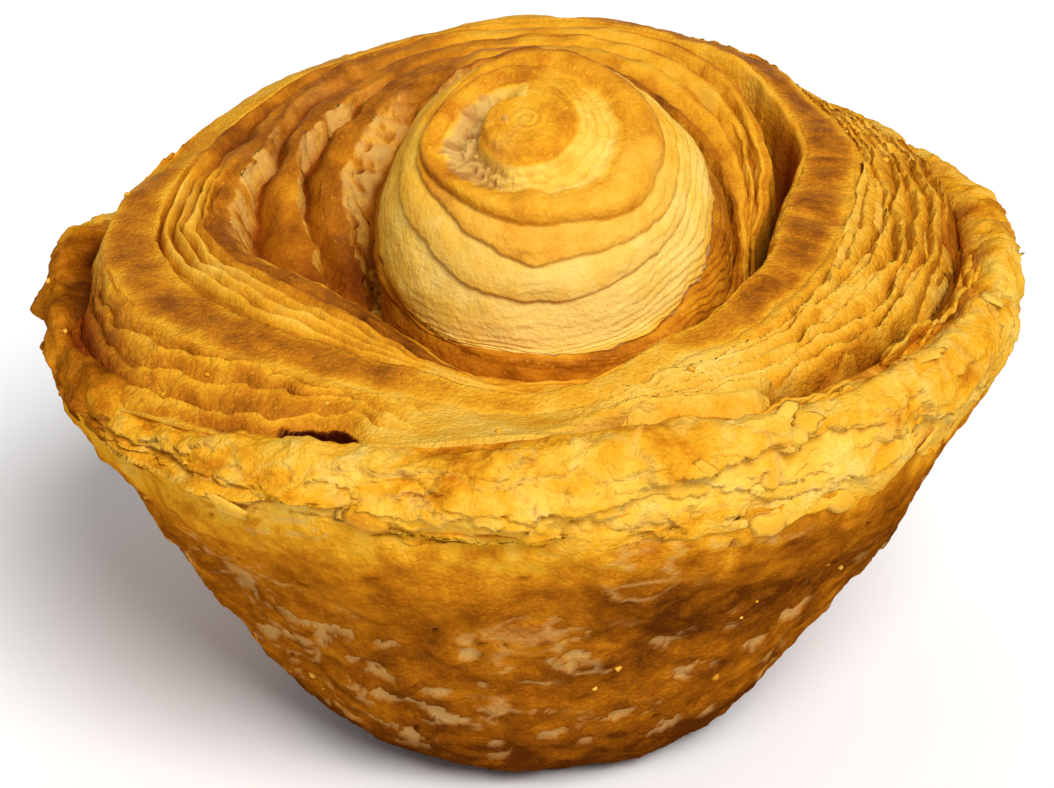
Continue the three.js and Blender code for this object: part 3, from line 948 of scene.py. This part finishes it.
def leaf_body(first, last, radius, top, seed, look):
    """A closed leaf between two directions that slants from its ragged upper edge: its points and values.

    radius and top are functions of the angle.
    """
    middle = np.array([np.radians((first + last) / 2)])
    rows = int(np.radians(last - first) * radius(middle)[0] / LEAF_STEP)
    angle = np.radians(np.linspace(first, last, rows))[:, None]
    share = np.linspace(0, 1, rows)[:, None]
    run = angle * BAND_GUIDE_RADIUS
    ends = smooth(0, 0.12, share) * smooth(0, 0.12, 1 - share)
    width = look.half_width * (0.5 + 0.5 * ends) * (1 + 0.35 * line_noise(run, 5, seed + 1, 2))
    cap = 0.6 * width
    face = np.linspace(1, 0, FACE_POINTS)[None, :] ** 1.4
    bend = np.linspace(np.pi, 0, CAP_POINTS + 2)[None, 1:-1]
    fall = -cap - (look.depth - cap) * face
    level = np.concatenate([fall, -cap + cap * np.sin(bend), fall[:, ::-1]], 1)
    taper = mix(0.6, 1.0, smooth(0, 2.0, -fall))
    side = np.concatenate([-width * taper, 0.6 * width * np.cos(bend), (width * taper)[:, ::-1]], 1)
    out = np.concatenate([-1 + 0 * face, np.cos(bend), 1 + 0 * face], 1) + 0 * width

    frill = line_noise(run, 1.8, seed + 2, 3) + 1.2 * line_noise(run, 7, seed + 4, 2)
    height = top(angle) - look.dive * (1 - ends) + look.ragged * smooth(-3.0, -0.1, level) * frill
    shift = look.wave * (line_noise(run, 9, seed + 5, 2) + 0.5 * line_noise(run, 3.4, seed + 6, 2))
    distance = radius(angle) + side + shift - look.slant * level
    points = ring(angle, distance, height + level)
    push = 0.2 * cloud(points, 2.0, seed + 9) * out
    points = points + ring(angle, push, 0 * push)
    bake = mix(look.face, look.edge, smooth(-0.9, -0.1, level)) + 0.10 * cloud(points, 4, seed + 10)
    # Painted shade deep down each leaf and on its inner side
    crease_shade = 0.6 * smooth(1.6, 3.6, -level) + 0.5 * fade(-0.2, 0.2, out) * smooth(0.4, 1.2, -level)
    return points, {"bake": bake, "crease_shade": crease_shade, "across": level}


def band_guide(share, edge_radius, edge_height, lift):
    """Radius and height, as functions of the angle, of a leaf part of the way from the band to an edge."""

    def radius(angle):
        return mix(band_line(angle) + round_value(CREST_HALF_WIDTHS, angle), edge_radius, share)

    def top(angle):
        return mix(round_value(BAND_HEIGHTS, angle) - CREST_FALL, edge_height, share) + lift

    return radius, top


def fan_bodies(settings):
    """Torn leaves over the shingles on the right, and along the gap between them and the rim."""
    random = np.random.default_rng(LEAF_DRAWS)
    bodies = []
    for place in range(settings.fan_leaves):
        share = (place % FAN_LEAVES + random.uniform(0.1, 0.9)) / FAN_LEAVES
        first = random.uniform(*FAN_STARTS)
        radius, top = band_guide(share, *FAN_EDGE, random.uniform(*FAN_LIFTS))
        last = first + random.uniform(*FAN_SPANS)
        bodies.append(leaf_body(first, last, radius, top, FAN_NOISE + NOISE_STEP * place, FAN_LEAF))
    for place in range(settings.torn_leaves):
        first = random.uniform(*TORN_STARTS)
        radius, top = band_guide(1.0, random.uniform(*TORN_RADII), random.uniform(*TORN_HEIGHTS), 0.0)
        last = first + random.uniform(*TORN_SPANS)
        bodies.append(leaf_body(first, last, radius, top, TORN_NOISE + NOISE_STEP * place, TORN_LEAF))
    return bodies


# Flakes and crumbs

FLAKE_SIDES = 14
FLAKE_SHARES = (0.3, 0.7, 1.0, 0.7, 0.3)
FLAKE_LEVELS = (-1.0, -0.8, 0.0, 0.8, 1.0)
FLAKE_THICKNESS = 0.45
FLAKE_DIRECTIONS = (222, 285, 352)  # first, most common and last direction of a flake, in degrees
FLAKE_DRAWS = 7  # start of the random draws
CRUMB_DRAWS = 17
CRUMB_SIDES = 8
CRUMB_ROWS = 6
# First and last row of a surface that may hold a flake or a crumb
WALL_LOOSE_ROWS = (20, 90)
RIM_LOOSE_ROWS = (4, LIP_STEPS + RIM_STEPS)
BAND_LOOSE_ROWS = (20, OUTER_ROWS + 8)


def spot(grid, row, column):
    """Place, direction along the row, direction across it and way out, at one point of a surface."""
    along = grid[row, (column + 1) % grid.shape[1]] - grid[row, column - 1]
    along /= np.linalg.norm(along)
    out = np.cross(along, grid[row + 1, column] - grid[row - 1, column])
    out /= np.linalg.norm(out)
    return grid[row, column], along, np.cross(out, along), out


def flake(random, frame_at_spot, length, width, curl, tone):
    """A thin ragged plate that lies on a surface, with its edges curled a little."""
    centre, along, across, out = frame_at_spot
    turn = random.uniform(-0.7, 0.7)
    along, across = (
        along * math.cos(turn) + across * math.sin(turn),
        across * math.cos(turn) - along * math.sin(turn),
    )
    angle = np.arange(FLAKE_SIDES) / FLAKE_SIDES * FULL_TURN
    ragged = 1 + random.uniform(-0.30, 0.22, FLAKE_SIDES)
    share = np.array(FLAKE_SHARES)[:, None]
    x = share * ragged * np.cos(angle) * length / 2
    y = share * ragged * np.sin(angle) * width / 2
    tilt = random.uniform(-0.06, 0.12)
    bow = curl * ((2 * x / length) ** 2 + 0.6 * (2 * y / width) ** 2) + tilt * y
    bow += random.uniform(-0.08, 0.08, x.shape)
    z = bow + (np.array(FLAKE_LEVELS)[:, None] + 0.4) * FLAKE_THICKNESS / 2
    points = centre + x[..., None] * along + y[..., None] * across + z[..., None] * out
    bake = tone + 0.08 * (0.6 - share)
    return points, {"bake": bake, "crease_shade": 0.0, "across": y + random.uniform(0, 50)}


def flake_bodies(settings, rim, rim_values):
    """Chips on the rim, most of them at the front."""
    random = np.random.default_rng(FLAKE_DRAWS)
    size = millimetres(settings)
    bodies = []
    for _ in range(settings.flake_count):
        row = int(random.integers(*RIM_LOOSE_ROWS))
        column = int((random.triangular(*FLAKE_DIRECTIONS) % 360) / 360 * RIM_SIDES)
        length = size.flake_length * random.uniform(0.4, 1.25)
        tone = rim_values["bake"][row, column] + random.uniform(-0.08, 0.06)
        width = length * random.uniform(0.45, 0.8)
        curl = random.uniform(-0.5, -0.3)
        bodies.append(flake(random, spot(rim, row, column), length, width, curl, tone))
    return bodies


def crumb(random, centre, radius):
    angle = directions(CRUMB_SIDES)
    bend = np.linspace(-1.25, 1.25, CRUMB_ROWS)[:, None]
    lump = radius * random.uniform(0.6, 1.25, (CRUMB_ROWS, CRUMB_SIDES))
    points = centre + ring(angle, lump * np.cos(bend), 0.8 * lump * np.sin(bend))
    return points, {"bake": random.uniform(0.25, 0.55), "crease_shade": 0.0, "across": bend}


def crumb_bodies(settings, surfaces):
    """Crumbs that cling to the given surfaces, each with its first and last row that may hold a crumb."""
    random = np.random.default_rng(CRUMB_DRAWS)
    size = millimetres(settings)
    bodies = []
    for grid, rows in surfaces:
        for _ in range(settings.crumb_count):
            centre = grid[int(random.integers(*rows)), int(random.integers(grid.shape[1]))]
            bodies.append(crumb(random, centre, size.crumb_radius * random.uniform(0.5, 1.3)))
    return bodies


# Materials

FLAKE_LAYERS = 9.0
LINE_SCALE = 200  # stretch of the leaf lines along the strip, for each metre
ACROSS_SCALE = 1.6  # and across it, for each millimetre
PATCH_SCALE = 240.0
TERRACE_SCALE = 380.0
SPECK_SCALE = 2000.0
BUMP_DISTANCE = 0.0007


class Nodes:
    """Short ways to add and join the nodes of one material."""

    def __init__(self, name):
        self.material = bpy.data.materials.new(name)
        self.material.use_nodes = True
        self.tree = self.material.node_tree
        self.shader = self.tree.nodes["Principled BSDF"]

    def add(self, kind, inputs=(), **settings):
        node = self.tree.nodes.new(kind)
        for key, value in settings.items():
            setattr(node, key, value)
        for key, value in dict(inputs).items():
            self.put(node.inputs[key], value)
        return node

    def put(self, socket, value):
        if isinstance(value, bpy.types.NodeSocket):
            self.tree.links.new(value, socket)
        else:
            socket.default_value = value

    def attribute(self, name):
        return self.add("ShaderNodeAttribute", attribute_name=name).outputs["Fac"]

    def maths(self, operation, first, second):
        return self.add("ShaderNodeMath", {0: first, 1: second}, operation=operation).outputs[0]

    def swing(self, value, amount):
        """A value from 0 to 1 turned into one that swings by an amount about 0."""
        return self.maths("MULTIPLY", self.maths("SUBTRACT", value, 0.5), amount)

    def remap(self, value, low, high, start, end):
        """A value carried over from one range to another."""
        inputs = {"Value": value, "From Min": low, "From Max": high, "To Min": start, "To Max": end}
        return self.add("ShaderNodeMapRange", inputs).outputs[0]

    def noise(self, place, scale, detail=3.0, roughness=0.55):
        inputs = {"Vector": place, "Scale": scale, "Detail": detail, "Roughness": roughness}
        return self.add("ShaderNodeTexNoise", inputs).outputs["Fac"]

    def blend(self, kind, share, first, second):
        inputs = {"Factor": share, 6: first, 7: (*second, 1.0)}
        return self.add("ShaderNodeMix", inputs, data_type="RGBA", blend_type=kind).outputs[2]

    def ramp(self, value, stops):
        node = self.add("ShaderNodeValToRGB", {"Fac": value})
        ramp = node.color_ramp
        while len(ramp.elements) < len(stops):
            ramp.elements.new(0.5)
        for element, (place, colour) in zip(ramp.elements, stops):
            element.position = place
            element.color = (*colour, 1.0)
        return node.outputs["Color"]


def pastry(name, colours, grain=0.02, mottle=0.46, bump=0.8, gloss=0.04, blisters_and_glints=0.22):
    """Baked pastry: coloured by how browned it is, mottled, with fine leaf lines along the strip, pale dots
    that are partly blisters and partly painted glints, and painted shade in the creases.
    """
    nodes = Nodes(name)
    place = nodes.add("ShaderNodeTexCoord").outputs["Object"]
    across = nodes.maths("MULTIPLY", nodes.attribute("across"), ACROSS_SCALE)
    lines = nodes.add("ShaderNodeCombineXYZ", {"Z": across})
    inputs = {0: place, 1: (LINE_SCALE, LINE_SCALE, 0), 2: lines.outputs[0]}
    strip_place = nodes.add("ShaderNodeVectorMath", inputs, operation="MULTIPLY_ADD")
    leaf_lines = nodes.noise(strip_place.outputs[0], 1.6, 3.0, 0.65)
    patches = nodes.noise(place, PATCH_SCALE)
    specks = nodes.noise(place, SPECK_SCALE, 2.0, 0.5)
    terraces = nodes.maths("MULTIPLY", nodes.noise(place, TERRACE_SCALE, 4.0, 0.6), FLAKE_LAYERS)
    terraces = nodes.maths("DIVIDE", nodes.maths("FLOOR", terraces, 0.0), FLAKE_LAYERS)

    tone = nodes.attribute("bake")
    swings = ((leaf_lines, grain * 2), (patches, mottle), (specks, mottle * 0.6), (terraces, mottle * 0.8))
    for layer, amount in swings:
        tone = nodes.maths("ADD", tone, nodes.swing(layer, amount))
    # Pale dots on the brightest specks: pale blisters, and painted glints in place of highlights
    tone = nodes.maths("SUBTRACT", tone, nodes.remap(specks, 0.62, 0.74, 0.0, blisters_and_glints))
    stops = (
        (0.00, colours.cream),
        (0.22, colours.butter),
        (0.45, colours.golden),
        (0.64, colours.amber),
        (0.82, colours.brown),
        (1.00, colours.dark),
    )
    colour = nodes.ramp(tone, stops)
    colour = nodes.blend("MIX", nodes.attribute("flour"), colour, colours.floury)
    # Painted shade: the colour is multiplied by the crease tint as far as the crease attribute says,
    # darkening creases, gaps and hollows
    colour = nodes.blend("MULTIPLY", nodes.attribute("crease_shade"), colour, colours.crease_shade)
    nodes.put(nodes.shader.inputs["Base Color"], colour)

    rough = nodes.maths("ADD", nodes.remap(tone, 0.2, 0.8, 0.72, 0.46), nodes.swing(specks, 0.2))
    nodes.put(nodes.shader.inputs["Roughness"], rough)
    nodes.shader.inputs["Specular IOR Level"].default_value = gloss

    relief = nodes.maths("MULTIPLY", leaf_lines, 0.06)
    for layer, weight in ((specks, 0.7), (patches, 0.5), (terraces, 0.9)):
        relief = nodes.maths("ADD", relief, nodes.maths("MULTIPLY", layer, weight))
    bumps = nodes.add("ShaderNodeBump", {"Strength": bump, "Distance": BUMP_DISTANCE, "Height": relief})
    nodes.put(nodes.shader.inputs["Normal"], bumps.outputs[0])
    return nodes.material


def plain(name, colour, roughness):
    nodes = Nodes(name)
    nodes.put(nodes.shader.inputs["Base Color"], (*colour, 1.0))
    nodes.shader.inputs["Roughness"].default_value = roughness
    return nodes.material


# Settings


def number(name, description, default, **others):
    return bpy.props.FloatProperty(name=name, description=description, default=default, **others)


def length(name, description, millimetre_default):
    return number(name, description, millimetre_default * MM, precision=4, unit="LENGTH", subtype="DISTANCE")


def angular(name, description, degrees):
    return number(name, description, math.radians(degrees), unit="ROTATION")


def how_many(name, description, default, least=0):
    return bpy.props.IntProperty(name=name, description=description, default=default, min=least)


def colour(name, description, default):
    return bpy.props.FloatVectorProperty(
        name=name, description=description, default=default, size=3, min=0, max=1, subtype="COLOR"
    )


class PIE_PG_case(bpy.types.PropertyGroup):
    base_radius: length("Base radius", "Flat face that the pie rests on", 19.3)
    foot_radius: length("Foot radius", "Where the rounded foot meets the wall", 32.3)
    foot_height: length("Foot height", "Height of the rounded foot", 12.0)
    wall_radius: length("Wall radius", "Top of the straight wall", 52.6)
    wall_height: length("Wall height", "Height of the straight wall", 43.0)
    rim_radius: length("Rim radius", "Widest part of the rim", 55.6)
    rim_widest_height: length("Rim widest height", "Height of the widest part of the rim", 52.0)
    rim_top_radius: length("Rim top radius", "Radius of the top of the rim", 51.6)
    rim_top_height: length("Rim top height", "Height of the top of the rim", 57.6)
    seat_radius: length("Seat radius", "Recess that holds the lid", 48.6)
    seat_lip_height: length("Seat lip height", "Inner edge of the rim", 55.4)
    seat_height: length("Seat height", "Floor of the recess that holds the lid", 47.0)
    plate_depth: length("Plate depth", "Relief of the flaky plates on the rim", 0.9)
    blister_depth: length("Blister depth", "Relief of the blisters on the wall", 0.35)
    lumpiness: number("Lumpiness", "How uneven the wall and rim are", 1.0, min=0, max=2, subtype="FACTOR")


class PIE_PG_lid(bpy.types.PropertyGroup):
    rosette_radius: length("Rosette radius", "Radius of the rosette at its root", 20.0)
    rosette_height: length("Rosette height", "Height of the rosette above its root", 28.3)
    rosette_x: length("Rosette across", "Place of the rosette's root, across", 3.5)
    rosette_y: length("Rosette along", "Place of the rosette's root, front to back", -2.0)
    rosette_base: length("Rosette base", "Height of the rosette's root", 50.0)
    rosette_fullness: number("Fullness", "2 is a half ellipse, more is squarer", 2.4, min=1.5, max=5)
    lean_forward: angular("Lean forward", "Lean of the rosette to the front", 26)
    lean_left: angular("Lean left", "Lean of the rosette to the left", 7)
    lean_shift: length("Lean shift", "How far back the leaning part of the rosette is set", 4.0)
    crater_depth: length("Crater depth", "Depth of the crater round the tip of the rosette", 1.5)
    lip_depth: length("Lip depth", "Step between the turns on the side of the rosette", 0.6)
    button_height: length("Button height", "Height of the button at the tip of the rosette", 0.9)
    fan_leaves: how_many("Fan leaves", "Torn leaves of the fan on the right", 12, least=1)
    torn_leaves: how_many("Torn leaves", "Torn leaves in the gap at the rim", 11)


class PIE_PG_flakes(bpy.types.PropertyGroup):
    flake_length: length("Flake length", "Usual length of a flake", 4.6)
    flake_count: how_many("Flakes", "Chips on the outside of the rim", 16)
    crumb_radius: length("Crumb radius", "Usual radius of a crumb", 0.4)
    crumb_count: how_many("Crumbs", "Crumbs on each of the wall, the rim and the lid", 26)


class PIE_PG_colours(bpy.types.PropertyGroup):
    cream: colour("Cream", "Unbaked inner leaves", (0.80, 0.54, 0.13))
    butter: colour("Butter", "Pale baked leaves", (0.75, 0.44, 0.055))
    golden: colour("Golden", "Golden leaves", (0.70, 0.32, 0.014))
    amber: colour("Amber", "Well baked tops", (0.49, 0.165, 0.006))
    brown: colour("Brown", "Browned crust", (0.27, 0.076, 0.003))
    # The dark stop is reached at the foot of the crust, where the tone is partly real browning and partly
    # painted shade
    dark: colour("Dark", "Foot of the crust", (0.10, 0.024, 0.002))
    # The crease tint is painted shade, multiplied into the colour in creases, gaps and hollows
    crease_shade: colour("Crease", "Tint of the pastry deep in a crease", (0.38, 0.14, 0.04))
    floury: colour("Floury", "Torn dough, dry and pale", (0.50, 0.30, 0.10))


class PIE_PG_stage(bpy.types.PropertyGroup):
    camera_elevation: angular("Camera elevation", "Camera above the horizon", 25)
    camera_distance: length("Camera distance", "Camera from the pie", 480.0)
    target_height: length("Target height", "Height of the point that the camera looks at", 38.0)
    lens: number("Lens", "Focal length", 143.45, unit="CAMERA")
    floor_size: length("Floor size", "Side of the floor", 6000.0)
    floor_colour: colour("Floor", "Plain pale floor", (0.92, 0.92, 0.92))
    key_strength: number("Key light", "Strength of the key light", 3.6, min=0)
    key_spread: angular("Key spread", "How wide and so how soft the key light is", 28)
    sky_strength: number("Sky", "Strength of the even surrounding light", 0.42)


# Stage

KEY_DIRECTION = (0.24, -0.68, 0.69)  # from the pie to the key light
SENSOR_WIDTH = 36
CLIP_START = 0.01
FLOOR_ROUGHNESS = 0.8


def facing(direction):
    """Rotation of a camera or light that looks along a direction."""
    return direction.to_track_quat("-Z", "Y").to_euler()


def add_camera(scene, stage):
    target = Vector((0, 0, stage.target_height))
    up = stage.camera_elevation
    camera = add_object("camera", bpy.data.cameras.new("camera"))
    camera.location = target + Vector((0, -math.cos(up), math.sin(up))) * stage.camera_distance
    camera.rotation_euler = facing(target - camera.location)
    camera.data.lens = stage.lens
    camera.data.sensor_width = SENSOR_WIDTH
    camera.data.clip_start = CLIP_START
    scene.camera = camera


def add_light(scene, stage):
    sun = bpy.data.lights.new("key_light", "SUN")
    sun.energy = stage.key_strength
    sun.angle = stage.key_spread
    add_object("key_light", sun).rotation_euler = facing(-Vector(KEY_DIRECTION))
    scene.world = bpy.data.worlds.new("studio")
    scene.world.use_nodes = True
    background = scene.world.node_tree.nodes["Background"]
    background.inputs["Color"].default_value = (1, 1, 1, 1)
    background.inputs["Strength"].default_value = stage.sky_strength
    scene.view_settings.view_transform = "Standard"


def add_floor(stage):
    half = stage.floor_size / 2
    mesh = bpy.data.meshes.new("floor")
    corners = [(-half, -half, 0), (half, -half, 0), (half, half, 0), (-half, half, 0)]
    mesh.from_pydata(corners, [], [(0, 1, 2, 3)])
    mesh.materials.append(plain("floor", stage.floor_colour, FLOOR_ROUGHNESS))
    floor = add_object("floor", mesh)


# Operators


class PIE_OT_case(bpy.types.Operator):
    """Build the pastry case with its rim"""

    bl_idname = "meat_pie.case"
    bl_label = "Pastry case"

    def execute(self, context):
        scene = context.scene
        look = {"grain": 0.04, "mottle": 0.42, "bump": 0.7, "gloss": 0.0, "blisters_and_glints": 0.1}
        crust = pastry("baked_crust", scene.pie_colours, **look)
        add_piece("case_wall", [wall_body(scene.pie_case)], crust, "pastry_case")
        add_piece("case_rim", [rim_body(scene.pie_case)], crust)
        return {"FINISHED"}


class PIE_OT_lid(bpy.types.Operator):
    """Build the coiled lid: its rosette, turns, band and torn leaves"""

    bl_idname = "meat_pie.lid"
    bl_label = "Coiled lid"

    def execute(self, context):
        scene = context.scene
        leaves = pastry("puff_pastry", scene.pie_colours)
        sheets = pastry("smooth_puff_pastry", scene.pie_colours, mottle=0.4, bump=0.4)
        lid = scene.pie_lid
        add_piece("lid_rosette", [rosette_body(lid)], sheets, "spiral_lid")
        add_piece("lid_turns", [turns_body()], sheets)
        add_piece("lid_band", [band_body()], leaves)
        add_piece("lid_fan", fan_bodies(lid), leaves)
        return {"FINISHED"}


class PIE_OT_flakes(bpy.types.Operator):
    """Scatter flakes over the rim, and crumbs over the wall, the rim and the lid"""

    bl_idname = "meat_pie.flakes"
    bl_label = "Flakes and crumbs"

    def execute(self, context):
        scene = context.scene
        loose = pastry("loose_flakes", scene.pie_colours, grain=0.06, mottle=0.2, bump=0.4)
        rim, rim_values = rim_body(scene.pie_case)
        wall, _ = wall_body(scene.pie_case)
        band, _ = band_body()
        surfaces = ((wall, WALL_LOOSE_ROWS), (rim, RIM_LOOSE_ROWS), (band, BAND_LOOSE_ROWS))
        add_piece("rim_flakes", flake_bodies(scene.pie_flakes, rim, rim_values), loose)
        add_piece("crumbs", crumb_bodies(scene.pie_flakes, surfaces), loose)
        return {"FINISHED"}


class PIE_OT_stage(bpy.types.Operator):
    """Set the camera, the soft studio light and the pale floor"""

    bl_idname = "meat_pie.stage"
    bl_label = "Stage"

    def execute(self, context):
        scene = context.scene
        add_camera(scene, scene.pie_stage)
        add_light(scene, scene.pie_stage)
        add_floor(scene.pie_stage)
        return {"FINISHED"}


class PIE_PT_panel(bpy.types.Panel):
    """Lists the settings and the steps that build the pie"""

    bl_idname = "PIE_PT_panel"
    bl_label = "Meat pie"
    bl_space_type = "VIEW_3D"
    bl_region_type = "UI"
    bl_category = "Meat pie"

    def draw(self, context):
        for name, group, operators in SECTIONS:
            settings = getattr(context.scene, name)
            for entry in group.__annotations__:
                self.layout.prop(settings, entry)
            for operator in operators:
                self.layout.operator(operator.bl_idname)


SECTIONS = (
    ("pie_colours", PIE_PG_colours, ()),
    ("pie_case", PIE_PG_case, (PIE_OT_case,)),
    ("pie_lid", PIE_PG_lid, (PIE_OT_lid,)),
    ("pie_flakes", PIE_PG_flakes, (PIE_OT_flakes,)),
    ("pie_stage", PIE_PG_stage, (PIE_OT_stage,)),
)


def register():
    for name, group, operators in SECTIONS:
        bpy.utils.register_class(group)
        setattr(bpy.types.Scene, name, bpy.props.PointerProperty(type=group))
        for operator in operators:
            bpy.utils.register_class(operator)
    bpy.utils.register_class(PIE_PT_panel)


def unregister():
    bpy.utils.unregister_class(PIE_PT_panel)
    for name, group, operators in reversed(SECTIONS):
        for operator in operators:
            bpy.utils.unregister_class(operator)
        delattr(bpy.types.Scene, name)
        bpy.utils.unregister_class(group)


def main():
    register()
    bpy.ops.meat_pie.stage()
    bpy.ops.meat_pie.case()
    bpy.ops.meat_pie.lid()
    bpy.ops.meat_pie.flakes()


if __name__ == "__main__":
    main()
